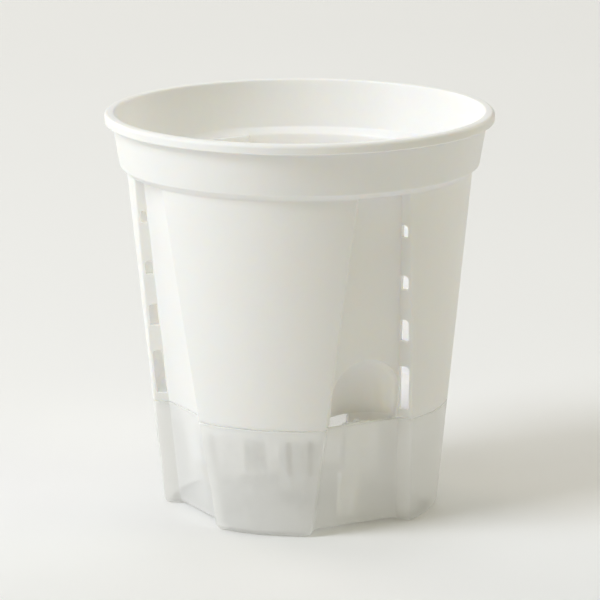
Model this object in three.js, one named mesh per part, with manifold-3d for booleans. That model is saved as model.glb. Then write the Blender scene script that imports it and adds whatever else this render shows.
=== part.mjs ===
// A round self-watering plant pot: a slotted white grow pot standing in a translucent water reservoir,
// with a wicking basket and its fibre wick hanging through the grow pot's floor into the water.
// Millimetres, +Z up, origin at the centre of the base, the filling recess facing -Y.
import * as THREE from "three";
import { mergeVertices } from "three/addons/utils/BufferGeometryUtils.js";
import Module from "manifold-3d";

const radians = THREE.MathUtils.degToRad;

// Overall form: one cone runs through the reservoir and the grow pot
const BASE_RADIUS = 46.1;
const TAPER = radians(5.76);
const TOTAL_HEIGHT = 134.8;
const SEAM_HEIGHT = 37;
const SEAM_GAP = 0.4;
const ROUND_STEPS = 72;

// Four flat-floored recesses, one on each side
const RECESS_COUNT = 4;
const SIDES = ["front", "right", "back", "left"];
const LOBES = { front_right: [1, -1], back_right: [1, 1], back_left: [-1, 1], front_left: [-1, -1] };
const RECESS_FLOOR_AT_BASE = 37.5;
const RECESS_FLOOR_LEAN = radians(8.28);
const RECESS_HALF_WIDTH_AT_BASE = 15.8;
const RECESS_SIDE_LEAN = radians(3.85);
const RECESS_FLARE = radians(33);

// Rim, lip and collar of the grow pot
const RIM_RADIUS = 65;
const LIP_HEIGHT = 3.4;
const LIP_THICKNESS = 1.3;
const FLANGE_THICKNESS = 1.4;
const RIM_ROUND = 1.1;
const COLLAR_HEIGHT = 17.6;
const COLLAR_BOTTOM_RADIUS = 60;
const COLLAR_TOP_RADIUS = 62.9;
const COLLAR_CHAMFER = 2;

// Walls and running clearances
const POT_WALL = 1.4;
const RESERVOIR_WALL = 1.4;
const SPIGOT_CLEARANCE = 0.4;
const SEAT_GAP = 0.3;
const OVERCUT = 2;

// Air slots in the side walls of every recess, from the lowest up: their lengths, the lands below and above
// them all, and the spaces between them, which share out what is left of the recess
const SLOT_LENGTHS = [15, 7.3, 4.8, 4.2];
const SLOT_BOTTOM_LAND = 3.2;
const SLOT_TOP_LAND = 11;
const SLOT_SPACES = [9, 10.5, 13.2];
const SLOT_INNER_LAND = 0.3;
const SLOT_OUTER_LAND = 1;

// Filling port: an arched niche in the front recess, open downwards into the reservoir
const FILL_HALF_WIDTH = 12.5;
const FILL_DEPTH = 10;
const FILL_STRAIGHT = 10;
const FILL_ARCH = 11.7;
const FILL_CENTRE = 44;
const FILL_STEPS = 28;

// Grow pot floor, the spigot hanging below it, and the legs
const SPIGOT_DEPTH = 4.4;
const FLOOR_RISE = 0.8;
const FLOOR_THICKNESS = 1.4;
const DRAIN_SLOT_WIDTH = 2.2;
const DRAIN_SLOT_REACH = [18, 36];
const DRAIN_SLOT_SPREAD = radians(13);
const DRAIN_SLOTS_PER_LOBE = 3;
const LEG_INSET = 4.8;
const LEG_THICKNESS = 1.4;
const LEG_HALF_WIDTH = 4.1;
const LEG_RIB_THICKNESS = 1.6;
const LEG_RIB_INSET = 1.9;
const LEG_TAB_LENGTH = 13.3;
const FRONT_TAB_RISE = 0.5;
const FRONT_SKIRT_HEIGHT = 3.2;

// Reservoir base: the four lobes are its feet, and the flats between them stand clear of the ground
const FOOT_ROUND = 2.4;
const FOOT_RISE = 1.2;
const FOOT_INNER_RADIUS = 40;
const RESERVOIR_FLOOR_THICKNESS = 1.6;

// Wicking basket, hung by its flange in the floor of the grow pot, and the wick in it
const BASKET_HOLE_RADIUS = 8.8;
const BASKET_CLEARANCE = 0.4;
const BASKET_TAPER = radians(2.4);
const BASKET_WALL = 1.2;
const BASKET_FLANGE_WIDTH = 3;
const BASKET_FLANGE_THICKNESS = 1.2;
const BASKET_STAND = 1.8;
const BASKET_BASE_THICKNESS = 1.4;
const BASKET_SLOTS = 6;
const BASKET_SLOT_WIDTH = 2.4;
const BASKET_SLOT_LAND = 4;
const BASKET_STEPS = 48;
const WICK_CLEARANCE = 0.3;
const WICK_STAND = 3.2;
const WICK_ROUND = 2;

// Sizes that follow from the ones above
const SPIGOT_BOTTOM = SEAM_HEIGHT - SPIGOT_DEPTH;
const FLOOR_BOTTOM = SEAM_HEIGHT + FLOOR_RISE;
const FLOOR_TOP = FLOOR_BOTTOM + FLOOR_THICKNESS;
const SPIGOT_INSET = RESERVOIR_WALL + SPIGOT_CLEARANCE;
const COLLAR_BOTTOM = TOTAL_HEIGHT - COLLAR_HEIGHT;
const RECESS_TOP = COLLAR_BOTTOM - COLLAR_CHAMFER;
const RESERVOIR_TOP = SEAM_HEIGHT - SEAM_GAP;
const RESERVOIR_FLOOR = FOOT_RISE + RESERVOIR_FLOOR_THICKNESS;
const LEG_BOTTOM = RESERVOIR_FLOOR + SEAT_GAP;
const LEG_TAB_BOTTOM = SPIGOT_BOTTOM - LEG_TAB_LENGTH;
const FILL_SPRING_HEIGHT = SEAM_HEIGHT + FILL_STRAIGHT;
const FRONT_SKIRT_TOP = SPIGOT_BOTTOM + FRONT_SKIRT_HEIGHT;
const BASKET_BOTTOM = RESERVOIR_FLOOR + BASKET_STAND;
const FLANGE_UNDERSIDE = TOTAL_HEIGHT - FLANGE_THICKNESS;
const LIP_BOTTOM = TOTAL_HEIGHT - LIP_HEIGHT;
const QUARTER_TURN = (2 * Math.PI) / RECESS_COUNT;
const BEYOND = RIM_RADIUS + OVERCUT;

const wasm = await Module();
wasm.setup();

// A closed three.js geometry as a solid that can be joined and cut
function solidOf(geometry) {
  const bare = geometry.clone();
  bare.deleteAttribute("normal");
  bare.deleteAttribute("uv");
  const merged = mergeVertices(bare, 1e-4);
  const corners = merged.index.array;
  const kept = [];
  for (let i = 0; i < corners.length; i += 3) {
    const [a, b, c] = [corners[i], corners[i + 1], corners[i + 2]];
    if (a !== b && b !== c && c !== a) kept.push(a, b, c);
  }
  const mesh = new wasm.Mesh({
    numProp: 3,
    vertProperties: merged.attributes.position.array,
    triVerts: new Uint32Array(kept),
  });
  return new wasm.Manifold(mesh);
}

// A finished solid as a three.js geometry
function geometryOf(solid) {
  const mesh = solid.getMesh();
  const geometry = new THREE.BufferGeometry();
  geometry.setAttribute("position", new THREE.BufferAttribute(mesh.vertProperties, 3));
  geometry.setIndex(new THREE.BufferAttribute(mesh.triVerts, 1));
  geometry.computeVertexNormals();
  return geometry;
}

const join = (solids) => solids.reduce((whole, piece) => whole.add(piece));
const cut = (solid, tools) => tools.reduce((rest, tool) => rest.subtract(tool), solid);

// A profile of [radius, height] points, turned about +Z
function turned(profile, steps) {
  const points = profile.map(([radius, height]) => new THREE.Vector2(radius, height));
  return new THREE.LatheGeometry(points, steps).rotateX(Math.PI / 2);
}

// Points of a quarter ellipse about a centre, from one angle to another
function arcPoints(centre, size, from, to, steps) {
  const curve = new THREE.EllipseCurve(centre[0], centre[1], size[0], size[1], from, to, to < from);
  return curve.getPoints(steps).map((point) => [point.x, point.y]);
}

// A box whose corners are placed by a rule from their signs along x, y and z
function placedBox(place) {
  const box = new THREE.BoxGeometry(2, 2, 2);
  const corners = box.attributes.position;
  for (let i = 0; i < corners.count; i++) {
    const [x, y, z] = place(corners.getX(i), corners.getY(i), corners.getZ(i));
    corners.setXYZ(i, x, y, z);
  }
  return box;
}

// A plain block between two corners
function block(low, high) {
  return solidOf(placedBox((...signs) => signs.map((sign, axis) => (sign > 0 ? high[axis] : low[axis]))));
}

// The same geometry, made anew by a function, at each recess in turn
function atEachRecess(make) {
  return Array.from({ length: RECESS_COUNT }, (_, k) => solidOf(make(k).rotateZ(k * QUARTER_TURN)));
}

// Radius of the common cone at a height
const coneRadius = (height) => BASE_RADIUS + height * Math.tan(TAPER);

// Distance of a recess floor from the axis at a height
const recessFloor = (height) => RECESS_FLOOR_AT_BASE + height * Math.tan(RECESS_FLOOR_LEAN);

// Half the width of a recess at a height, at a distance from the axis
function recessHalfWidth(height, distance) {
  const atFloor = RECESS_HALF_WIDTH_AT_BASE - height * Math.tan(RECESS_SIDE_LEAN);
  return atFloor + (distance - recessFloor(height)) * Math.tan(RECESS_FLARE);
}

// Distance from the axis at which a recess side meets the cone, from the circle and the side's line
function recessEdge(height) {
  const slope = Math.tan(RECESS_FLARE);
  const offset = recessHalfWidth(height, 0);
  const square = 1 + slope * slope;
  const half = slope * offset;
  return (Math.sqrt(half * half - square * (offset * offset - coneRadius(height) ** 2)) - half) / square;
}

// The empty space of one recess, facing -Y, grown by a wall on its floor and sides
function recessSpace(bottom, top, grow) {
  return placedBox((x, y, z) => {
    const height = z > 0 ? top : bottom;
    const floor = recessFloor(height) - grow / Math.cos(RECESS_FLOOR_LEAN);
    const distance = y > 0 ? floor : BEYOND;
    const half = recessHalfWidth(height, distance) + grow / Math.cos(RECESS_FLARE);
    return [x * half, -distance, height];
  });
}

// A turned profile with the four recesses taken out, each grown by a wall
function lobed(profile, recessTop, grow) {
  return cut(
    solidOf(turned(profile, ROUND_STEPS)),
    atEachRecess(() => recessSpace(-OVERCUT, recessTop, grow)),
  );
}

// A lobed block between two heights, set in from the common cone
function lobedBlock(bottom, top, inset) {
  const setIn = inset / Math.cos(TAPER);
  const profile = [
    [0, bottom],
    [coneRadius(bottom) - setIn, bottom],
    [coneRadius(top) - setIn, top],
    [0, top],
  ];
  return lobed(profile, top + OVERCUT, inset);
}

// The grow pot's outside: cone, collar, and rim with its turned-down lip
function potOutside() {
  const lipInside = RIM_RADIUS - LIP_THICKNESS;
  const round = [RIM_RADIUS - RIM_ROUND, TOTAL_HEIGHT - RIM_ROUND];
  const profile = [
    [0, SEAM_HEIGHT],
    [coneRadius(SEAM_HEIGHT), SEAM_HEIGHT],
    [coneRadius(RECESS_TOP), RECESS_TOP],
    [COLLAR_BOTTOM_RADIUS, COLLAR_BOTTOM],
    [COLLAR_TOP_RADIUS, FLANGE_UNDERSIDE],
    [lipInside, FLANGE_UNDERSIDE],
    [lipInside, LIP_BOTTOM],
    [RIM_RADIUS, LIP_BOTTOM],
    ...arcPoints(round, [RIM_ROUND, RIM_ROUND], 0, Math.PI / 2, 3),
    [0, TOTAL_HEIGHT],
  ];
  return lobed(profile, RECESS_TOP, 0);
}

// The grow pot's inside, a wall away from its outside, with the recesses standing into it
function potInside() {
  const setIn = POT_WALL / Math.cos(TAPER);
  const profile = [
    [0, FLOOR_TOP],
    [coneRadius(FLOOR_TOP) - setIn, FLOOR_TOP],
    [coneRadius(RECESS_TOP + POT_WALL) - setIn, RECESS_TOP + POT_WALL],
    [COLLAR_BOTTOM_RADIUS - POT_WALL, COLLAR_BOTTOM + POT_WALL],
    [COLLAR_TOP_RADIUS - POT_WALL, FLANGE_UNDERSIDE],
    [COLLAR_TOP_RADIUS - POT_WALL + RIM_ROUND, TOTAL_HEIGHT + OVERCUT],
    [0, TOTAL_HEIGHT + OVERCUT],
  ];
  return lobed(profile, RECESS_TOP + POT_WALL, POT_WALL);
}

// Bottom and top of each air slot, from the lowest up
function slotHeights() {
  const total = (sizes) => sizes.reduce((sum, size) => sum + size, 0);
  const left = RECESS_TOP - SEAM_HEIGHT - SLOT_BOTTOM_LAND - SLOT_TOP_LAND - total(SLOT_LENGTHS);
  const share = left / total(SLOT_SPACES);
  let bottom = SEAM_HEIGHT + SLOT_BOTTOM_LAND;
  return SLOT_LENGTHS.map((length, n) => {
    const slot = [bottom, bottom + length];
    bottom = slot[1] + share * (SLOT_SPACES[n] ?? 0);
    return slot;
  });
}

// One air slot through a side wall of a recess; side is 1 or -1
function airSlot(side, [bottom, top]) {
  return placedBox((x, y, z) => {
    const height = z > 0 ? top : bottom;
    const inner = recessFloor(height) + SLOT_INNER_LAND;
    const outer = recessEdge(height) - SLOT_OUTER_LAND;
    const distance = y > 0 ? inner : outer;
    const wall = recessHalfWidth(height, distance);
    const across = x * side > 0 ? wall + POT_WALL + SEAT_GAP : wall - SEAT_GAP;
    return [across * side, -distance, height];
  });
}

// The filling niche, grown by a wall: an upright elliptical shaft with a domed top
function fillNiche(bottom, grow) {
  const size = [FILL_HALF_WIDTH + grow, FILL_ARCH + grow];
  const profile = [
    [0, bottom],
    [size[0], bottom],
    ...arcPoints([0, FILL_SPRING_HEIGHT], size, 0, Math.PI / 2, 7),
  ];
  const flatten = (FILL_DEPTH + grow) / size[0];
  return solidOf(turned(profile, FILL_STEPS).scale(1, flatten, 1).translate(0, -FILL_CENTRE, 0));
}

// A block that leans with a recess floor, facing -Y, between two insets from that floor and two heights
function leaningBlock(halfWidth, [outer, inner], [bottom, top]) {
  return placedBox((x, y, z) => {
    const height = z > 0 ? top : bottom;
    const inset = y > 0 ? inner : outer;
    return [x * halfWidth, inset / Math.cos(RECESS_FLOOR_LEAN) - recessFloor(height), height];
  });
}

// The legs under the floor: each a plate with a rib towards the reservoir, and a tab that carries the
// spigot's wall down. The front leg hangs on what the filling niche leaves of the spigot, and its tab
// stands up in the niche.
function potLegs() {
  const rib = LEG_RIB_THICKNESS / 2;
  const middle = LEG_INSET + LEG_THICKNESS / 2;
  const plate = [LEG_INSET, LEG_INSET + LEG_THICKNESS];
  const tab = [SPIGOT_INSET, SPIGOT_INSET + POT_WALL];
  const leg = (plateTop, ribTop) => [
    leaningBlock(LEG_HALF_WIDTH, plate, [LEG_BOTTOM, plateTop]),
    leaningBlock(LEG_HALF_WIDTH, tab, [LEG_TAB_BOTTOM, SPIGOT_BOTTOM]),
    leaningBlock(rib, [LEG_RIB_INSET, middle], [LEG_BOTTOM, SPIGOT_BOTTOM]),
    leaningBlock(rib, [tab[1] + SEAT_GAP, middle], [SPIGOT_BOTTOM - LEG_THICKNESS, ribTop]),
  ];
  const front = [
    ...leg(FRONT_SKIRT_TOP, SEAM_HEIGHT),
    leaningBlock(rib, [SPIGOT_INSET + POT_WALL / 2, middle], [FRONT_SKIRT_TOP, SEAM_HEIGHT]),
    leaningBlock(LEG_HALF_WIDTH, tab, [FRONT_SKIRT_TOP, FLOOR_BOTTOM + FRONT_TAB_RISE]),
  ];
  return SIDES.map((side, k) => {
    const blocks = k === 0 ? front : leg(FLOOR_BOTTOM, FLOOR_BOTTOM);
    return join(blocks.map((geometry) => solidOf(geometry.rotateZ(k * QUARTER_TURN))));
  });
}

// The drain slots of the floor, a fan of radial slots in each lobe
function drainSlots() {
  const [from, to] = DRAIN_SLOT_REACH;
  const slots = [];
  for (let k = 0; k < RECESS_COUNT; k++) {
    for (let n = 0; n < DRAIN_SLOTS_PER_LOBE; n++) {
      const turn = (k + 0.5) * QUARTER_TURN + (n - (DRAIN_SLOTS_PER_LOBE - 1) / 2) * DRAIN_SLOT_SPREAD;
      const slot = new THREE.BoxGeometry(to - from, DRAIN_SLOT_WIDTH, 2 * FLOOR_THICKNESS + OVERCUT);
      slots.push(solidOf(slot.translate((from + to) / 2, 0, FLOOR_BOTTOM).rotateZ(turn)));
    }
  }
  return slots;
}

// A plain round hole about the axis
function roundHole(radius, bottom, top) {
  const profile = [
    [0, bottom],
    [radius, bottom],
    [radius, top],
    [0, top],
  ];
  return solidOf(turned(profile, BASKET_STEPS));
}

// The grow pot without its legs
function potMoulding() {
  const outside = join([potOutside(), lobedBlock(SPIGOT_BOTTOM, SEAM_HEIGHT, SPIGOT_INSET)]);
  const underside = lobedBlock(0, FLOOR_BOTTOM, SPIGOT_INSET + POT_WALL);
  const shell = cut(outside, [potInside(), underside]);
  const nicheWall = fillNiche(FLOOR_BOTTOM, POT_WALL).intersect(outside);
  const opened = cut(join([shell, nicheWall]), [fillNiche(FRONT_SKIRT_TOP, 0)]);
  const slots = [1, -1].flatMap((side) =>
    slotHeights().flatMap((heights) => atEachRecess(() => airSlot(side, heights))),
  );
  const hole = roundHole(BASKET_HOLE_RADIUS, 0, FLOOR_TOP + OVERCUT);
  return cut(opened, [...slots, ...drainSlots(), hole]);
}

// The grow pot in simple pieces that meet face to face: its rim, its legs, and for each lobe a quarter of
// the wall, the floor and the spigot
function growPot() {
  const moulding = potMoulding();
  const rim = moulding.intersect(block([-BEYOND, -BEYOND, RECESS_TOP], [BEYOND, BEYOND, TOTAL_HEIGHT + OVERCUT]));
  const pieces = [["pot_rim", rim]];
  for (const [lobe, [x, y]] of Object.entries(LOBES)) {
    const quarter = (bottom, top) =>
      moulding.intersect(
        block(
          [Math.min(0, x * BEYOND), Math.min(0, y * BEYOND), bottom],
          [Math.max(0, x * BEYOND), Math.max(0, y * BEYOND), top],
        ),
      );
    pieces.push(
      [`pot_wall_${lobe}`, quarter(FLOOR_TOP, RECESS_TOP)],
      [`pot_floor_${lobe}`, quarter(FLOOR_BOTTOM, FLOOR_TOP)],
      [`pot_spigot_${lobe}`, quarter(0, FLOOR_BOTTOM)],
    );
  }
  return [...pieces, ...potLegs().map((solid, k) => [`pot_leg_${SIDES[k]}`, solid])];
}

function reservoir() {
  const round = [coneRadius(0) - FOOT_ROUND, FOOT_ROUND];
  const outside = [
    [0, 0],
    ...arcPoints(round, [FOOT_ROUND, FOOT_ROUND], -Math.PI / 2, 0, 4),
    [coneRadius(RESERVOIR_TOP), RESERVOIR_TOP],
    [0, RESERVOIR_TOP],
  ];
  const inside = lobedBlock(RESERVOIR_FLOOR, RESERVOIR_TOP + OVERCUT, RESERVOIR_WALL);
  const underside = roundHole(FOOT_INNER_RADIUS, -OVERCUT, FOOT_RISE);
  return cut(lobed(outside, RESERVOIR_TOP + OVERCUT, 0), [inside, underside]);
}

// Outer radius of the basket at a height
const BASKET_TOP_RADIUS = BASKET_HOLE_RADIUS - BASKET_CLEARANCE;
const BASKET_SEAT = FLOOR_TOP + SEAT_GAP;
const basketRadius = (height) => BASKET_TOP_RADIUS - (BASKET_SEAT - height) * Math.tan(BASKET_TAPER);

function wickBasket() {
  const top = BASKET_SEAT + BASKET_FLANGE_THICKNESS;
  const floor = BASKET_BOTTOM + BASKET_BASE_THICKNESS;
  const cup = turned(
    [
      [0, BASKET_BOTTOM],
      [basketRadius(BASKET_BOTTOM), BASKET_BOTTOM],
      [basketRadius(BASKET_SEAT), BASKET_SEAT],
      [BASKET_TOP_RADIUS + BASKET_FLANGE_WIDTH, BASKET_SEAT],
      [BASKET_TOP_RADIUS + BASKET_FLANGE_WIDTH, top],
      [basketRadius(top) - BASKET_WALL, top],
      [basketRadius(floor) - BASKET_WALL, floor],
      [0, floor],
    ],
    BASKET_STEPS,
  );
  const slotBottom = floor + BASKET_SLOT_LAND;
  const slotTop = SPIGOT_BOTTOM - BASKET_SLOT_LAND;
  const slots = Array.from({ length: BASKET_SLOTS }, (_, n) => {
    const slot = new THREE.BoxGeometry(2 * BASKET_WALL + OVERCUT, BASKET_SLOT_WIDTH, slotTop - slotBottom);
    const middle = (slotBottom + slotTop) / 2;
    slot.translate(basketRadius(middle) - BASKET_WALL / 2, 0, middle);
    return solidOf(slot.rotateZ((2 * Math.PI * (n + 0.5)) / BASKET_SLOTS));
  });
  return cut(solidOf(cup), slots);
}

// A straight wick, as wide as the foot of the tapered basket lets through
function wick() {
  const bottom = BASKET_BOTTOM + BASKET_BASE_THICKNESS + WICK_CLEARANCE;
  const top = BASKET_SEAT + BASKET_FLANGE_THICKNESS + WICK_STAND;
  const radius = basketRadius(bottom) - BASKET_WALL - WICK_CLEARANCE;
  const profile = [
    [0, bottom],
    [radius, bottom],
    ...arcPoints([radius - WICK_ROUND, top - WICK_ROUND], [WICK_ROUND, WICK_ROUND], 0, Math.PI / 2, 4),
    [0, top],
  ];
  return solidOf(turned(profile, BASKET_STEPS));
}

// A named piece with its colour, roughness and opacity
function piece(name, solid, colour, roughness, opacity = 1) {
  const material = new THREE.MeshStandardMaterial({ color: colour, roughness, metalness: 0 });
  material.opacity = opacity;
  material.transparent = opacity < 1;
  const mesh = new THREE.Mesh(geometryOf(solid), material);
  mesh.name = name;
  return mesh;
}

const pot = new THREE.Group();
pot.add(
  piece("reservoir", reservoir(), 0xe4e5e2, 0.4, 0.5),
  ...growPot().map(([name, solid]) => piece(name, solid, 0xf2f1ec, 0.45)),
  piece("wick_basket", wickBasket(), 0xf2f1ec, 0.5),
  piece("wick", wick(), 0xe8e2d2, 0.95),
);

export default pot;
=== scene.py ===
"""Looks of the self-watering pot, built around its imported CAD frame.

Sizes are in millimetres until a mesh is made.
"""
import math

import bmesh
import bpy
from mathutils import Matrix, Vector


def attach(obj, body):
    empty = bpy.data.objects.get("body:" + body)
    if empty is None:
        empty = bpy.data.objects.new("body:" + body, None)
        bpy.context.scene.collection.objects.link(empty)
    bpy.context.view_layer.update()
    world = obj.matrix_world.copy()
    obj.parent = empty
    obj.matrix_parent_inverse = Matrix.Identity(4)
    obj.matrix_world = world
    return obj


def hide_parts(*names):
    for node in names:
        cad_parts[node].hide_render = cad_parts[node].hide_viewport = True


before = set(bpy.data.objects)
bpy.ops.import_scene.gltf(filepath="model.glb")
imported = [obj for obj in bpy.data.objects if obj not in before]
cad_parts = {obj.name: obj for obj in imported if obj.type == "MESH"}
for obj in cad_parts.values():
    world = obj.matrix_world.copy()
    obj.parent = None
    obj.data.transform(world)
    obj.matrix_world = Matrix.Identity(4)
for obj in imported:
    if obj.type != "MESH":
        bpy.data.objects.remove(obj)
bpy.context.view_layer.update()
MM = 0.001

# Common cone and its four recesses
BASE_RADIUS = 46.1
TAPER = math.radians(5.76)
RECESS_FLOOR_AT_BASE = 37.5
RECESS_FLOOR_LEAN = math.radians(8.28)
RECESS_HALF_WIDTH_AT_BASE = 15.8
RECESS_SIDE_LEAN = math.radians(3.85)
RECESS_FLARE = math.radians(33)
CORNER_ROUND = 0.7
EDGE_ROUND = 0.9
LEAST_EDGE_ROUND = 0.25

# Grow pot: rim, collar, walls and floor
TOTAL_HEIGHT = 134.8
SEAM_HEIGHT = 37.0
RIM_RADIUS = 65.0
LIP_BOTTOM = 131.4
LIP_THICKNESS = 1.3
FLANGE_UNDERSIDE = 133.4
COLLAR_BOTTOM = 117.2
COLLAR_BOTTOM_RADIUS = 60.0
COLLAR_TOP_RADIUS = 62.9
RECESS_TOP = 115.2
POT_WALL = 1.4
RIM_INNER_RADIUS = COLLAR_TOP_RADIUS - POT_WALL + 0.1
SPIGOT_BOTTOM = 32.6
SPIGOT_INSET = 1.8
FLOOR_BOTTOM = 37.8
FLOOR_TOP = 39.2
FLOOR_FILLET = 1.2
FLOOR_FILLET_MIDDLE = 0.35
CHAMFER = 0.3

# Grow pot: air slots and drain slots
SLOT_HEIGHTS = ((40.2, 55.2), (64.2, 71.5), (82.0, 86.8), (100.0, 104.2))
SLOT_INNER_LAND = 0.3
SLOT_OUTER_LAND = 1.0
SLOT_OVERCUT = 1.2
SLOT_SMALL_ROUND = 0.25
SLOT_LARGE_ROUND = 1.5
SLOT_LARGE_ROUND_SHARE = 0.6
DRAIN_INNER = 18
DRAIN_OUTER = 33.6
DRAIN_HALF_WIDTH = 1.1
DRAIN_ROUND = 1.09
DRAIN_OVERCUT = 1
DRAIN_SPREADS = (-13, 0, 13)

# Grow pot: filling niche, and the apron that closes the right half of the gap below its wall
FILL_HALF_WIDTH = 12.5
FILL_DEPTH = 10.0
FILL_SPRING = 47.0
FILL_TOP = 58.7
FILL_FRONT = 5
NICHE_WALL_BOTTOM = FLOOR_BOTTOM + 0.2
NICHE_WALL_PLANE = -0.7
NICHE_SIDE_GROWTH = 0.2
ARCH_STEPS = 14
ELLIPSE_STEPS = 32
APRON_ANGLES = (20, 90)
APRON_BOTTOM = SPIGOT_BOTTOM + 0.3
APRON_TOP = FLOOR_BOTTOM + 0.5
APRON_INSET = 0.05
APRON_STEPS = 12

# Grow pot: legs
LEG_BOTTOM = 3.1
LEG_INSET = 4.8
LEG_THICKNESS = 1.4
LEG_HALF_WIDTH = 4.1
LEG_RIB_THICKNESS = 1.6
LEG_RIB_INSET = 1.9
LEG_TAB_BOTTOM = 19.3
LEG_TAB_INSET = 0.02
LEG_OVERLAP = 0.4
FRONT_TAB_RISE = -1.2
FRONT_SKIRT_TOP = 35.8

# Reservoir
RESERVOIR_TOP = 36.8
RESERVOIR_WALL = 1.4
RESERVOIR_FLOOR = 2.8
RESERVOIR_EDGE = 0.4
RESERVOIR_EDGE_DROP = 0.12
INNER_FILLET = 0.9
FILLET_STEPS = 5
FOOT_ROUND = 2.4
FOOT_STEPS = 7
FOOT_RISE = 1.2
FOOT_INNER_RADIUS = 40.0
POCKET_START = -5

# Wicking basket and wick
HOLE_RADIUS = 8.8
BASKET_TOP_RADIUS = 8.4
BASKET_TAPER = math.radians(2.4)
BASKET_WALL = 1.2
BASKET_SEAT = 39.5
BASKET_TOP = 40.7
BASKET_FLANGE_RADIUS = 11.4
BASKET_BOTTOM = 4.6
BASKET_FLOOR = 6.0
BASKET_EDGE = 0.15
BASKET_SLOTS = 6
BASKET_SLOT_HEIGHTS = (10, 28.6)
BASKET_SLOT_HALF_WIDTH = 1.2
BASKET_SLOT_ROUND = 1.1
BASKET_SLOT_START = 4
BASKET_SLOT_LENGTH = 6
WICK_BOTTOM = 6.3
WICK_TOP = 43.9
WICK_CLEARANCE = 0.3

# Fineness of the meshes; the two distances are in metres
FLOOR_STEPS = 7
ROUND_STEPS = 5
LOBE_STEPS = 18
TURN_STEPS = 96
RING_SPACING = 9
END_RING = 0.7
BUILD_MERGE_DISTANCE = 2e-6
MERGE_DISTANCE = 1.5e-6
BEVEL_ANGLE = math.radians(40)
BEVEL_SEGMENTS = 2
SHARP_ANGLE = math.radians(50)

# What counts as a cup's inside: parts of a face's normal, and heights above and below the floor
LEAST_INWARD = 0.3
LEAST_UPWARD = 0.5
FLOOR_REACH = 5
FLOOR_MARGIN = 0.1

# Colours, each as a darker and a lighter shade
OUTSIDE_WHITE = ((0.868, 0.866, 0.855), (0.882, 0.88, 0.869))
# The inside white is lighter than the outside white as painted light: it brightens the pot's inside and its
# parts below the seam, seen through the reservoir, beyond what the lamps give.
PAINTED_LIGHT_INSIDE_WHITE = ((0.945, 0.943, 0.937), (0.96, 0.958, 0.952))
FROSTED_WHITE = ((0.98, 0.98, 0.975), (0.99, 0.99, 0.985))
FELT_BEIGE = ((0.62, 0.57, 0.46), (0.8, 0.76, 0.66))
PAPER_WHITE = ((0.835, 0.835, 0.835), (0.845, 0.845, 0.845))
NOISE_LOW = 0.3
NOISE_HIGH = 0.7


def cone_radius(z):
    return BASE_RADIUS + z * math.tan(TAPER)


def recess_floor(z):
    return RECESS_FLOOR_AT_BASE + z * math.tan(RECESS_FLOOR_LEAN)


def recess_half_width(z):
    return RECESS_HALF_WIDTH_AT_BASE - z * math.tan(RECESS_SIDE_LEAN)


def half_outline(z, inset):
    """Half a recess and half a lobe at a height, as (across, outward) points from middle to middle."""
    sin_f, cos_f = math.sin(RECESS_FLARE), math.cos(RECESS_FLARE)
    radius = cone_radius(z) - inset / math.cos(TAPER)
    floor = recess_floor(z) - inset / math.cos(RECESS_FLOOR_LEAN)
    half = recess_half_width(z) + (floor - recess_floor(z)) * math.tan(RECESS_FLARE) + inset / cos_f
    corner = CORNER_ROUND + inset
    edge = max(EDGE_ROUND - inset, LEAST_EDGE_ROUND)
    middle = Vector((half - corner * (1 - sin_f) / cos_f, floor + corner))
    points = [Vector((middle.x * i / FLOOR_STEPS, floor)) for i in range(FLOOR_STEPS)]
    for i in range(ROUND_STEPS + 1):
        a = -math.pi / 2 + (math.pi / 2 - RECESS_FLARE) * i / ROUND_STEPS
        points.append(middle + corner * Vector((math.cos(a), math.sin(a))))
    along = Vector((sin_f, cos_f))
    away = Vector((cos_f, -sin_f))
    start = Vector((half, floor)) + edge * away
    near = start.dot(along)
    reach = -near + math.sqrt(near ** 2 - start.length_squared + (radius - edge) ** 2)
    middle = start + reach * along
    first, last = math.pi - RECESS_FLARE, math.atan2(middle.y, middle.x)
    for i in range(ROUND_STEPS + 1):
        a = first + (last - first) * i / ROUND_STEPS
        points.append(middle + edge * Vector((math.cos(a), math.sin(a))))
    begin = math.pi / 2 - last
    for i in range(1, LOBE_STEPS + 1):
        a = begin + (math.pi / 4 - begin) * i / LOBE_STEPS
        points.append(radius * Vector((math.sin(a), math.cos(a))))
    return points


def lobed_ring(z, inset=0.0):
    """The lobed outline at a height, set in from the outside."""
    half = half_outline(z, inset)
    side = [Vector((-p.x, p.y)) for p in reversed(half[1:-1])] + half
    ring = []
    for k in range(4):
        turn = Matrix.Rotation(k * math.pi / 2, 2)
        for p in side:
            q = turn @ Vector((p.x, -p.y))
            ring.append(Vector((q.x, q.y, z)))
    return ring


def round_ring(like, radius, z):
    """A circle whose points stand at the same angles as those of another ring."""
    return [Vector((p.x, p.y, 0)).normalized() * radius + Vector((0, 0, z)) for p in like]


def rounded(corners, steps=5):
    """A line of (r, z, rounding) corners as a list of (r, z) points with each corner rounded."""
    points = []
    for i, (r, z, size) in enumerate(corners):
        here = Vector((r, z))
        if size == 0 or i in (0, len(corners) - 1):
            points.append(here)
            continue
        back = (Vector(corners[i - 1][:2]) - here).normalized()
        ahead = (Vector(corners[i + 1][:2]) - here).normalized()
        half = math.acos(max(-1, min(1, back.dot(ahead)))) / 2
        reach = size / math.tan(half)
        middle = here + (back + ahead).normalized() * size / math.sin(half)
        first, last = here + back * reach - middle, here + ahead * reach - middle
        sweep = first.angle_signed(last)
        for k in range(steps + 1):
            a = -sweep * k / steps
            x = first.x * math.cos(a) - first.y * math.sin(a)
            y = first.x * math.sin(a) + first.y * math.cos(a)
            points.append(middle + Vector((x, y)))
    return points


def levels(bottom, top):
    """Heights for the rings of a straight wall, with one close to each end."""
    count = round((top - bottom) / RING_SPACING)
    between = [bottom + (top - bottom) * i / count for i in range(1, count)]
    return [bottom, bottom + END_RING, *between, top - END_RING, top]


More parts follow.
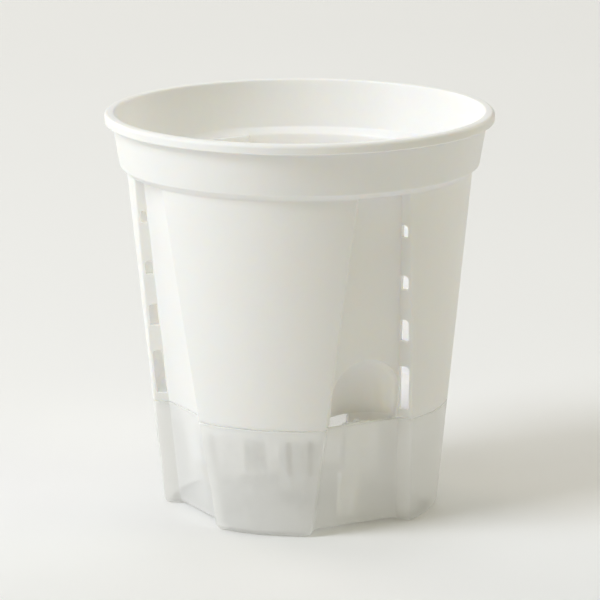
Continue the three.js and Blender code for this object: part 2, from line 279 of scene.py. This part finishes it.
def new_object(name, bm):
    bmesh.ops.remove_doubles(bm, verts=bm.verts, dist=BUILD_MERGE_DISTANCE)
    bmesh.ops.recalc_face_normals(bm, faces=bm.faces)
    mesh = bpy.data.meshes.new(name)
    bm.to_mesh(mesh)
    bm.free()
    obj = bpy.data.objects.new(name, mesh)
    bpy.context.scene.collection.objects.link(obj)
    return obj


def loft(name, rings, joined=False):
    """A closed skin through rings of points.

    Joined runs on from the last ring to the first. Otherwise both ends are capped.
    """
    bm = bmesh.new()
    rows = [[bm.verts.new(p * MM) for p in ring] for ring in rings]
    pairs = list(zip(rows, rows[1:] + rows[:1])) if joined else list(zip(rows, rows[1:]))
    for low, high in pairs:
        for i in range(len(low)):
            j = (i + 1) % len(low)
            bm.faces.new((low[i], low[j], high[j], high[i]))
    if not joined:
        for row in (rows[0], rows[-1]):
            middle = bm.verts.new(sum((v.co for v in row), Vector()) / len(row))
            for i in range(len(row)):
                bm.faces.new((row[i], row[(i + 1) % len(row)], middle))
    return new_object(name, bm)


def turned(name, points):
    """A closed skin turned from (r, z) points that begin and end on the axis or meet again."""
    angles = [2 * math.pi * i / TURN_STEPS for i in range(TURN_STEPS)]
    rings = [[Vector((r * math.cos(a), r * math.sin(a), z)) for a in angles] for r, z in points]
    return loft(name, rings, joined=points[0][0] > 0)


def prism(name, outline, push):
    """A closed block between an outline of points and the same outline pushed by a vector."""
    return loft(name, [outline, [p + push for p in outline]])


def join(name, objects):
    bm = bmesh.new()
    for obj in objects:
        bm.from_mesh(obj.data)
        bpy.data.objects.remove(obj)
    return new_object(name, bm)


def settle(obj):
    """Applies an object's modifiers to its mesh."""
    made = bpy.data.meshes.new_from_object(obj.evaluated_get(bpy.context.evaluated_depsgraph_get()))
    obj.modifiers.clear()
    obj.data = made


def boolean(obj, tool, operation):
    step = obj.modifiers.new(operation, "BOOLEAN")
    step.operation = operation
    step.solver = "MANIFOLD"
    step.object = tool
    settle(obj)
    bpy.data.objects.remove(tool)


def soften(obj, width):
    """Rounds the sharp edges."""
    bevel = obj.modifiers.new("edges", "BEVEL")
    bevel.width = width * MM
    bevel.segments = BEVEL_SEGMENTS
    bevel.limit_method = "ANGLE"
    bevel.angle_limit = BEVEL_ANGLE
    bevel.use_clamp_overlap = True
    settle(obj)


def smooth(obj):
    """Merges points that lie almost on one another, and shades flat faces flat and round ones round."""
    bm = bmesh.new()
    bm.from_mesh(obj.data)
    bmesh.ops.remove_doubles(bm, verts=bm.verts, dist=MERGE_DISTANCE)
    bmesh.ops.dissolve_degenerate(bm, dist=MERGE_DISTANCE, edges=bm.edges)
    bm.to_mesh(obj.data)
    bm.free()
    for polygon in obj.data.polygons:
        polygon.use_smooth = True
    obj.data.set_sharp_from_angle(angle=SHARP_ANGLE)
    weigh = obj.modifiers.new("normals", "WEIGHTED_NORMAL")
    weigh.keep_sharp = True
    settle(obj)


def at_each_recess(obj):
    """An object with three copies of it, turned to the other recesses."""
    copies = [obj]
    for k in range(1, 4):
        twin = obj.copy()
        twin.data = obj.data.copy()
        twin.data.transform(Matrix.Rotation(k * math.pi / 2, 4, "Z"))
        bpy.context.scene.collection.objects.link(twin)
        copies.append(twin)
    return copies


def rounded_loop(corners):
    """A closed loop of (a, b, rounding) corners as rounded (a, b) points."""
    ring = [corners[-1], *corners, corners[0]]
    return rounded(ring, steps=4)[1:-1]


def air_slot(side, bottom, top):
    """A cutter for one air slot in the front recess; side is 1 or -1."""
    sin_f, cos_f = math.sin(RECESS_FLARE), math.cos(RECESS_FLARE)
    slope = math.tan(RECESS_FLARE)
    radius = cone_radius(bottom)
    offset = recess_half_width(bottom) - recess_floor(bottom) * slope
    spread = 1 + slope ** 2
    root = math.sqrt((slope * offset) ** 2 - spread * (offset ** 2 - radius ** 2))
    edge = (root - slope * offset) / spread
    inner = SLOT_INNER_LAND / cos_f
    outer = (edge - SLOT_OUTER_LAND - recess_floor(bottom)) / cos_f
    small = SLOT_SMALL_ROUND
    large = min(SLOT_LARGE_ROUND, SLOT_LARGE_ROUND_SHARE * (outer - inner))
    corners = [(inner, bottom, small), (outer, bottom, small), (outer, top, large), (inner, top, small)]
    points = []
    for s, z in rounded_loop(corners):
        across = recess_half_width(z) + s * sin_f
        outward = recess_floor(z) + s * cos_f
        points.append(Vector((side * (across - SLOT_OVERCUT * cos_f), -(outward + SLOT_OVERCUT * sin_f), z)))
    push = Vector((side * cos_f, sin_f, 0)) * (POT_WALL + 2 * SLOT_OVERCUT)
    return prism("air_slot", points, push)


def drain_slot(turn):
    """A cutter for one drain slot in the floor, pointing away from the axis."""
    half, size = DRAIN_HALF_WIDTH, DRAIN_ROUND
    corners = [
        (DRAIN_INNER, -half, size),
        (DRAIN_OUTER, -half, size),
        (DRAIN_OUTER, half, size),
        (DRAIN_INNER, half, size),
    ]
    spin = Matrix.Rotation(turn, 2)
    points = []
    for a, b in rounded_loop(corners):
        p = spin @ Vector((a, b))
        points.append(Vector((p.x, p.y, FLOOR_BOTTOM - DRAIN_OVERCUT)))
    return prism("drain_slot", points, Vector((0, 0, FLOOR_TOP - FLOOR_BOTTOM + 2 * DRAIN_OVERCUT)))


def niche(name, bottom, grow, plane, front):
    """The filling niche as a block, with half an ellipse at each height.

    The ellipse lies behind a plane along the recess floor. Front carries the block on before that plane.
    """
    half_width = FILL_HALF_WIDTH + min(grow, NICHE_SIDE_GROWTH)
    depth, rise = FILL_DEPTH + grow + plane, FILL_TOP - FILL_SPRING + grow
    heights = [(bottom, 1.0), (FILL_SPRING, 1.0)]
    for i in range(1, ARCH_STEPS + 1):
        a = math.pi / 2 * i / (ARCH_STEPS + 0.5)
        heights.append((FILL_SPRING + rise * math.sin(a), math.cos(a)))
    rings = []
    for z, share in heights:
        floor = recess_floor(z) + plane
        ring = []
        for i in range(ELLIPSE_STEPS + 1):
            a = math.pi * i / ELLIPSE_STEPS
            across = half_width * share * math.cos(a)
            ring.append(Vector((across, -(floor - depth * share * math.sin(a)), z)))
        if front:
            ring.append(Vector((-half_width * share, -(floor + front), z)))
            ring.append(Vector((half_width * share, -(floor + front), z)))
        rings.append(ring)
    return loft(name, rings)


def niche_apron():
    """A curved wall below the right half of the niche's wall; the left half stays open to the water."""
    first, last = APRON_ANGLES
    inner, outer = APRON_INSET, POT_WALL - APRON_INSET
    corners = ((inner, APRON_BOTTOM), (outer, APRON_BOTTOM), (outer, APRON_TOP), (inner, APRON_TOP))
    rings = []
    for i in range(APRON_STEPS + 1):
        a = math.radians(first + (last - first) * i / APRON_STEPS)
        ring = []
        for grow, z in corners:
            across = (FILL_HALF_WIDTH + min(grow, NICHE_SIDE_GROWTH)) * math.cos(a)
            depth = (FILL_DEPTH + grow) * math.sin(a)
            ring.append(Vector((across, depth - recess_floor(z), z)))
        rings.append(ring)
    return loft("niche_apron", rings)


def leaning_block(name, half_width, insets, heights):
    """A block that leans with the front recess's floor, between two insets from it and two heights."""
    rings = []
    for z in heights:
        outer, inner = (inset / math.cos(RECESS_FLOOR_LEAN) - recess_floor(z) for inset in insets)
        corners = ((1, outer), (1, inner), (-1, inner), (-1, outer))
        rings.append([Vector((x * half_width, y, z)) for x, y in corners])
    return loft(name, rings)


def legs():
    """The legs' blocks: a plate with its ribs and a tab below the spigot.

    The front leg's tab also stands up a little in the filling niche.
    """
    rib = LEG_RIB_THICKNESS / 2
    plate = (LEG_INSET, LEG_INSET + LEG_THICKNESS)
    tab = (SPIGOT_INSET + LEG_TAB_INSET, SPIGOT_INSET + POT_WALL - LEG_TAB_INSET)
    outer_rib = (LEG_RIB_INSET, LEG_INSET + LEG_OVERLAP)
    inner_rib = (SPIGOT_INSET + POT_WALL - LEG_OVERLAP, LEG_INSET + LEG_OVERLAP)
    under_spigot = SPIGOT_BOTTOM + LEG_OVERLAP
    blocks = []
    for k in range(4):
        plate_top = FLOOR_BOTTOM + LEG_OVERLAP if k else FRONT_SKIRT_TOP
        rib_top = FLOOR_BOTTOM + LEG_OVERLAP if k else SEAM_HEIGHT
        leg = [
            leaning_block("plate", LEG_HALF_WIDTH, plate, (LEG_BOTTOM, plate_top)),
            leaning_block("tab", LEG_HALF_WIDTH, tab, (LEG_TAB_BOTTOM, under_spigot)),
            leaning_block("outer_rib", rib, outer_rib, (LEG_BOTTOM, under_spigot)),
            leaning_block("inner_rib", rib, inner_rib, (SPIGOT_BOTTOM, rib_top)),
        ]
        if k == 0:
            heights = (FRONT_SKIRT_TOP - LEG_OVERLAP, FLOOR_BOTTOM + FRONT_TAB_RISE)
            leg.append(leaning_block("front_tab", LEG_HALF_WIDTH, tab, heights))
        for piece in leg:
            piece.data.transform(Matrix.Rotation(k * math.pi / 2, 4, "Z"))
        blocks += leg
    return blocks


def grow_pot():
    """The white moulding: a lobed wall and floor, then the niche, slots and legs by booleans."""
    top = lobed_ring(RECESS_TOP)
    collar = rounded([
        (cone_radius(RECESS_TOP), RECESS_TOP, 0),
        (COLLAR_BOTTOM_RADIUS, COLLAR_BOTTOM, 0.6),
        (COLLAR_TOP_RADIUS, FLANGE_UNDERSIDE, 0.3),
        (RIM_RADIUS - LIP_THICKNESS, FLANGE_UNDERSIDE, 0.3),
        (RIM_RADIUS - LIP_THICKNESS, LIP_BOTTOM, 0.4),
        (RIM_RADIUS, LIP_BOTTOM, 0.5),
        (RIM_RADIUS, TOTAL_HEIGHT, 1.3),
        (RIM_INNER_RADIUS, TOTAL_HEIGHT, 0.9),
        (COLLAR_BOTTOM_RADIUS - POT_WALL, COLLAR_BOTTOM + POT_WALL, 1.0),
        (cone_radius(RECESS_TOP + POT_WALL) - POT_WALL / math.cos(TAPER), RECESS_TOP + POT_WALL, 0),
    ])
    inside = lobed_ring(RECESS_TOP + POT_WALL, POT_WALL)
    inside_heights = levels(FLOOR_TOP + FLOOR_FILLET, RECESS_TOP + POT_WALL)
    spigot = SPIGOT_INSET + POT_WALL
    rings = [
        *(lobed_ring(z) for z in levels(SEAM_HEIGHT + CHAMFER, RECESS_TOP)),
        *(round_ring(top, r, z) for r, z in collar[:-1]),
        round_ring(inside, *collar[-1]),
        *(lobed_ring(z, POT_WALL) for z in reversed(inside_heights)),
        lobed_ring(FLOOR_TOP + FLOOR_FILLET_MIDDLE, POT_WALL + FLOOR_FILLET_MIDDLE),
        lobed_ring(FLOOR_TOP, POT_WALL + FLOOR_FILLET),
        round_ring(inside, HOLE_RADIUS + CHAMFER, FLOOR_TOP),
        round_ring(inside, HOLE_RADIUS, FLOOR_TOP - CHAMFER),
        round_ring(inside, HOLE_RADIUS, FLOOR_BOTTOM),
        lobed_ring(FLOOR_BOTTOM, spigot),
        lobed_ring(SPIGOT_BOTTOM + CHAMFER, spigot),
        lobed_ring(SPIGOT_BOTTOM, spigot - CHAMFER),
        lobed_ring(SPIGOT_BOTTOM, SPIGOT_INSET + CHAMFER),
        lobed_ring(SPIGOT_BOTTOM + CHAMFER, SPIGOT_INSET),
        lobed_ring(SEAM_HEIGHT, SPIGOT_INSET),
        lobed_ring(SEAM_HEIGHT, CHAMFER),
    ]
    pot = loft("grow_pot_moulding", rings, joined=True)
    boolean(pot, niche("niche_wall", NICHE_WALL_BOTTOM, POT_WALL, NICHE_WALL_PLANE, 0), "UNION")
    cutters = [niche("niche_space", FRONT_SKIRT_TOP, 0, 0, FILL_FRONT)]
    for bottom, top in SLOT_HEIGHTS:
        for side in (1, -1):
            cutters += at_each_recess(air_slot(side, bottom, top))
    for k in range(4):
        for spread in DRAIN_SPREADS:
            cutters.append(drain_slot(math.radians(45 + 90 * k + spread)))
    boolean(pot, join("cutters", cutters), "DIFFERENCE")
    for piece in (niche_apron(), *legs()):
        boolean(pot, piece, "UNION")
    smooth(pot)
    return pot


def reservoir():
    """The frosted cup that the grow pot stands in, with a hollow under its floor."""
    wall, edge, drop = RESERVOIR_WALL, RESERVOIR_EDGE, RESERVOIR_EDGE_DROP
    wall_top = RESERVOIR_TOP - edge
    rings = []
    for i in range(FOOT_STEPS + 1):
        a = math.pi / 2 * i / FOOT_STEPS
        rings.append(lobed_ring(FOOT_ROUND * (1 - math.cos(a)), FOOT_ROUND * (1 - math.sin(a))))
    rings += [lobed_ring(z) for z in levels(FOOT_ROUND, wall_top)[1:]]
    for z, inset in ((-drop, drop), (0, edge), (0, wall - edge), (-drop, wall - drop)):
        rings.append(lobed_ring(RESERVOIR_TOP + z, inset))
    rings += [lobed_ring(z, wall) for z in reversed(levels(RESERVOIR_FLOOR + INNER_FILLET, wall_top))]
    for i in range(1, FILLET_STEPS + 1):
        a = math.pi / 2 * i / FILLET_STEPS
        height = RESERVOIR_FLOOR + INNER_FILLET * (1 - math.sin(a))
        rings.append(lobed_ring(height, wall + INNER_FILLET * (1 - math.cos(a))))
    cup = loft("reservoir_moulding", rings)
    pocket = turned("pocket", [
        (0, POCKET_START),
        (FOOT_INNER_RADIUS, POCKET_START),
        (FOOT_INNER_RADIUS, FOOT_RISE),
        (0, FOOT_RISE),
    ])
    boolean(cup, pocket, "DIFFERENCE")
    smooth(cup)
    return cup


def line_inside(obj, look, floor, hidden_below=0):
    """Gives a cup's inside, from its floor up, and what is below a hidden height a second material."""
    obj.data.materials.append(look)
    for face in obj.data.polygons:
        c, n = face.center, face.normal
        inward = c.x * n.x + c.y * n.y < -LEAST_INWARD * math.hypot(c.x, c.y)
        on_floor = n.z > LEAST_UPWARD and c.z < (floor + FLOOR_REACH) * MM
        if c.z < hidden_below * MM or (c.z > floor * MM and (inward or on_floor)):
            face.material_index = 1


def basket_radius(z):
    return BASKET_TOP_RADIUS - (BASKET_SEAT - z) * math.tan(BASKET_TAPER)


def wick_basket():
    """The slotted cup that hangs by its flange in the floor of the grow pot."""
    cup = turned("basket_moulding", rounded([
        (0, BASKET_BOTTOM, 0),
        (basket_radius(BASKET_BOTTOM), BASKET_BOTTOM, 0.8),
        (basket_radius(BASKET_SEAT), BASKET_SEAT, 0.2),
        (BASKET_FLANGE_RADIUS, BASKET_SEAT, 0.4),
        (BASKET_FLANGE_RADIUS, BASKET_TOP, 0.5),
        (basket_radius(BASKET_TOP) - BASKET_WALL, BASKET_TOP, 0.4),
        (basket_radius(BASKET_FLOOR) - BASKET_WALL, BASKET_FLOOR, 0.5),
        (0, BASKET_FLOOR, 0),
    ]))
    half, size = BASKET_SLOT_HALF_WIDTH, BASKET_SLOT_ROUND
    low, high = BASKET_SLOT_HEIGHTS
    corners = [(-half, low, size), (half, low, size), (half, high, size), (-half, high, size)]
    outline = [Vector((BASKET_SLOT_START, a, b)) for a, b in rounded_loop(corners)]
    slots = []
    for n in range(BASKET_SLOTS):
        slot = prism("slot", outline, Vector((BASKET_SLOT_LENGTH, 0, 0)))
        slot.data.transform(Matrix.Rotation(2 * math.pi * (n + 0.5) / BASKET_SLOTS, 4, "Z"))
        slots.append(slot)
    boolean(cup, join("slots", slots), "DIFFERENCE")
    soften(cup, BASKET_EDGE)
    smooth(cup)
    return cup


def wick():
    """The plug of felt in the basket."""
    radius = basket_radius(WICK_BOTTOM) - BASKET_WALL - WICK_CLEARANCE
    plug = turned("wick_plug", rounded([
        (0, WICK_BOTTOM, 0),
        (radius, WICK_BOTTOM, 0.6),
        (radius, WICK_TOP, 2.0),
        (0, WICK_TOP, 0),
    ]))
    for polygon in plug.data.polygons:
        polygon.use_smooth = True
    return plug


def material(name, **values):
    made = bpy.data.materials.new(name)
    made.use_nodes = True
    shader = made.node_tree.nodes["Principled BSDF"]
    for key, value in values.items():
        shader.inputs[key.replace("_", " ")].default_value = value
    return made, made.node_tree, shader


def noise(tree, scale, detail, stretch=None):
    place = tree.nodes.new("ShaderNodeTexCoord")
    made = tree.nodes.new("ShaderNodeTexNoise")
    made.inputs["Scale"].default_value = scale
    made.inputs["Detail"].default_value = detail
    source = place.outputs["Object"]
    if stretch:
        mapping = tree.nodes.new("ShaderNodeMapping")
        mapping.inputs["Scale"].default_value = stretch
        tree.links.new(source, mapping.inputs["Vector"])
        source = mapping.outputs["Vector"]
    tree.links.new(source, made.inputs["Vector"])
    return made.outputs["Fac"]


def ramp(tree, source, low, high, target):
    """Spreads a noise over a range of values."""
    made = tree.nodes.new("ShaderNodeMapRange")
    made.inputs["From Min"].default_value = NOISE_LOW
    made.inputs["From Max"].default_value = NOISE_HIGH
    made.inputs["To Min"].default_value = low
    made.inputs["To Max"].default_value = high
    tree.links.new(source, made.inputs["Value"])
    tree.links.new(made.outputs["Result"], target)


def tint(tree, source, shades, target):
    """Spreads a noise over two shades of a colour."""
    made = tree.nodes.new("ShaderNodeValToRGB")
    for element, position, shade in zip(made.color_ramp.elements, (NOISE_LOW, NOISE_HIGH), shades):
        element.position = position
        element.color = (*shade, 1)
    tree.links.new(source, made.inputs["Fac"])
    tree.links.new(made.outputs["Color"], target)


def grain(tree, shader, source, strength, depth):
    """Bumps of a depth in millimetres."""
    made = tree.nodes.new("ShaderNodeBump")
    made.inputs["Strength"].default_value = strength
    made.inputs["Distance"].default_value = depth * MM
    tree.links.new(source, made.inputs["Height"])
    tree.links.new(made.outputs["Normal"], shader.inputs["Normal"])


def white_plastic(name, shades):
    made, tree, shader = material(name, Subsurface_Weight=1.0, Subsurface_Scale=0.7 * MM)
    shader.inputs["Subsurface Radius"].default_value = (1.0, 0.9, 0.75)
    tint(tree, noise(tree, 28, 3), shades, shader.inputs["Base Color"])
    ramp(tree, noise(tree, 60, 4), 0.38, 0.48, shader.inputs["Roughness"])
    grain(tree, shader, noise(tree, 2600, 3), 0.12, 0.03)
    return made


def mixed(tree, share, first, second):
    made = tree.nodes.new("ShaderNodeMixShader")
    made.inputs["Fac"].default_value = share
    tree.links.new(first, made.inputs[1])
    tree.links.new(second, made.inputs[2])
    return made.outputs["Shader"]


def frosted_plastic(name, glow, clear):
    """Plastic that scatters a share of the light through to the other side and lets another share pass."""
    made, tree, shader = material(name)
    through = tree.nodes.new("ShaderNodeBsdfTranslucent")
    straight = tree.nodes.new("ShaderNodeBsdfTransparent")
    for target in (shader.inputs["Base Color"], through.inputs["Color"]):
        tint(tree, noise(tree, 30, 3), FROSTED_WHITE, target)
    ramp(tree, noise(tree, 70, 4), 0.36, 0.46, shader.inputs["Roughness"])
    grain(tree, shader, noise(tree, 2200, 3), 0.15, 0.03)
    cloudy = mixed(tree, glow, shader.outputs["BSDF"], through.outputs["BSDF"])
    whole = mixed(tree, clear, cloudy, straight.outputs["BSDF"])
    tree.links.new(whole, tree.nodes["Material Output"].inputs["Surface"])
    return made


def felt():
    made, tree, shader = material("wick_felt", Roughness=0.95)
    shader.inputs["Sheen Weight"].default_value = 0.3
    tint(tree, noise(tree, 900, 6, (1, 1, 0.25)), FELT_BEIGE, shader.inputs["Base Color"])
    grain(tree, shader, noise(tree, 1500, 8, (1, 1, 0.2)), 0.7, 0.25)
    return made


def dress(obj, look, body, nodes):
    obj.data.materials.clear()
    obj.data.materials.append(look)
    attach(obj, body)
    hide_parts(*nodes)


POT_NODES = ["pot_rim"]
for lobe in ("front_right", "back_right", "back_left", "front_left"):
    POT_NODES += ["pot_wall_" + lobe, "pot_floor_" + lobe, "pot_spigot_" + lobe]
for side in ("front", "right", "back", "left"):
    POT_NODES.append("pot_leg_" + side)
pot = grow_pot()
dress(pot, white_plastic("white_outside", OUTSIDE_WHITE), "grow_pot", POT_NODES)
# Painted light: the pot's inside and its parts below the seam get a lighter white than its outside.
line_inside(pot, white_plastic("white_inside_painted_light", PAINTED_LIGHT_INSIDE_WHITE), FLOOR_BOTTOM, SEAM_HEIGHT)
cup = reservoir()
frosted = frosted_plastic("frosted_outside", glow=0.35, clear=0.36)
dress(cup, frosted, "reservoir", ["reservoir"])
lining = frosted_plastic("frosted_inside", glow=0.4, clear=0.85)
line_inside(cup, lining, RESERVOIR_FLOOR - FLOOR_MARGIN)
basket = wick_basket()
dress(basket, white_plastic("basket_white", OUTSIDE_WHITE), "basket", ["wick_basket"])
plug = wick()
dress(plug, felt(), "wick", ["wick"])

# Floor, in metres
FLOOR_HALF_WIDTH = 6
bm = bmesh.new()
bmesh.ops.create_grid(bm, x_segments=1, y_segments=1, size=FLOOR_HALF_WIDTH)
floor = new_object("floor", bm)
look, tree, shader = material("floor_paper", Roughness=0.9)
tint(tree, noise(tree, 3, 2), PAPER_WHITE, shader.inputs["Base Color"])
floor.data.materials.append(look)

# Camera at the photograph's place, in metres: left of the filling recess, looking slightly down
AZIMUTH = math.radians(-28.7)
DISTANCE = 1.31013
CAMERA_HEIGHT = 0.36622
PITCH = math.radians(12.749)
ROLL = math.radians(-0.135)
SENSOR_WIDTH = 36
FOCAL_PIXELS = 3991.36
PICTURE_PIXELS = 600
lens = bpy.data.cameras.new("camera")
lens.sensor_width = SENSOR_WIDTH
lens.lens = FOCAL_PIXELS * SENSOR_WIDTH / PICTURE_PIXELS
lens.clip_start = 0.01
camera = bpy.data.objects.new("camera", lens)
bpy.context.scene.collection.objects.link(camera)
level_x, level_y = -math.sin(AZIMUTH), math.cos(AZIMUTH)
ahead = Vector((level_x * math.cos(PITCH), level_y * math.cos(PITCH), -math.sin(PITCH)))
camera.location = (math.sin(AZIMUTH) * DISTANCE, -math.cos(AZIMUTH) * DISTANCE, CAMERA_HEIGHT)
aim = ahead.to_track_quat("-Z", "Y").to_matrix()
camera.rotation_euler = (aim @ Matrix.Rotation(ROLL, 3, "Z")).to_euler()
bpy.context.scene.camera = camera
LAMP_AIM_HEIGHT = 0.06


def area_light(name, azimuth, elevation, distance, size, power, colour):
    """A square soft light that faces a point in the pot; azimuth is from the camera's side, to the right."""
    lamp = bpy.data.lights.new(name, "AREA")
    lamp.size = size
    lamp.energy = power
    lamp.color = colour
    made = bpy.data.objects.new(name, lamp)
    a, e = AZIMUTH + math.radians(azimuth), math.radians(elevation)
    place = Vector((math.sin(a) * math.cos(e), -math.cos(a) * math.cos(e), math.sin(e)))
    made.location = place * distance + Vector((0, 0, LAMP_AIM_HEIGHT))
    made.rotation_euler = (-place).to_track_quat("-Z", "Y").to_euler()
    bpy.context.scene.collection.objects.link(made)


# Lamps in front of, above and behind the pot, the strongest of them on the left
area_light("key", -76, 22, 1.8, 1.0, 8.6, (0.94, 1.0, 1.01))
area_light("high_left", -62, 45, 4, 1.6, 69, (0.96, 1.0, 1.08))
area_light("top", 0, 86, 4, 2.6, 31.5, (1.02, 1.0, 1.04))
area_light("right_fill", 80, 35, 4, 2.2, 23, (0.98, 1.0, 0.75))
area_light("front_fill", 0, 30, 4, 2.2, 12, (1.1, 1.0, 0.6))
area_light("back", 175, 42, 4, 2.4, 30, (0.95, 1.0, 1.02))
area_light("back_left", -135, 18, 4, 2.0, 42, (1.08, 1.0, 0.85))
area_light("back_right", 130, 18, 4, 2.0, 24, (1.08, 1.0, 0.96))
world = bpy.data.worlds.new("studio")
world.use_nodes = True
background = world.node_tree.nodes["Background"]
background.inputs["Color"].default_value = (1.0, 0.9, 0.6, 1)
background.inputs["Strength"].default_value = 0.1
bpy.context.scene.world = world
bpy.context.scene.view_settings.view_transform = "Standard"
bpy.context.scene.cycles.diffuse_bounces = 12
